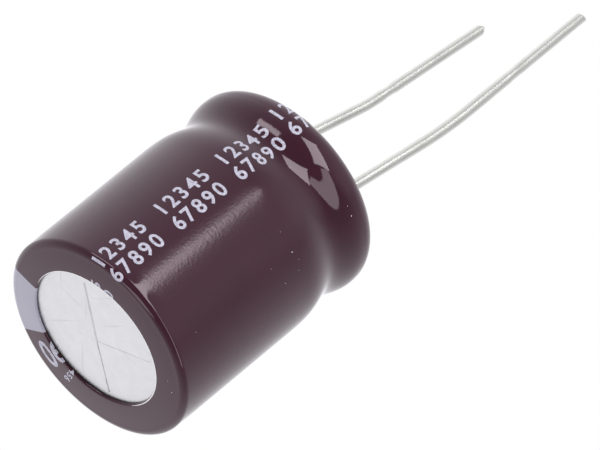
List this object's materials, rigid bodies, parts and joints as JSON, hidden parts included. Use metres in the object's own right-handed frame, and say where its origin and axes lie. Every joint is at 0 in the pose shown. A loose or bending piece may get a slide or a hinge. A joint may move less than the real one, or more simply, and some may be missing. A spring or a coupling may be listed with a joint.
{
  "type": "radial aluminium electrolytic capacitor",
  "caption": "Radial through-hole capacitor: a drawn aluminium can in a shrunk plastic sleeve, sealed by a rubber bung, with a long and a short tinned wire lead.",
  "frame": {"origin": "centre of the closed end's standing ring, under the can's axis", "axes": "+Z along the can's axis, up to the leads; +X from the cathode lead to the anode lead where they leave the bung"},
  "size_m": [0.0164, 0.0164, 0.0471],
  "materials": {
    "sleeve": "glossy shrunk film",
    "can": "bright drawn",
    "bung": "matt moulded",
    "wound_paper": "soaked wound paper",
    "tape": "clear film tape",
    "terminal": "pressed",
    "wire": "matt tinned"
  },
  "bodies": {
    "root": {"sleeve": "sleeve", "can": "can", "bung": "bung", "wound_element": "wound_paper", "closing_tape": "tape", "anode_tab": "terminal", "cathode_tab": "terminal", "anode_lead": "wire", "cathode_lead": "wire"}
  },
  "joints": []
}
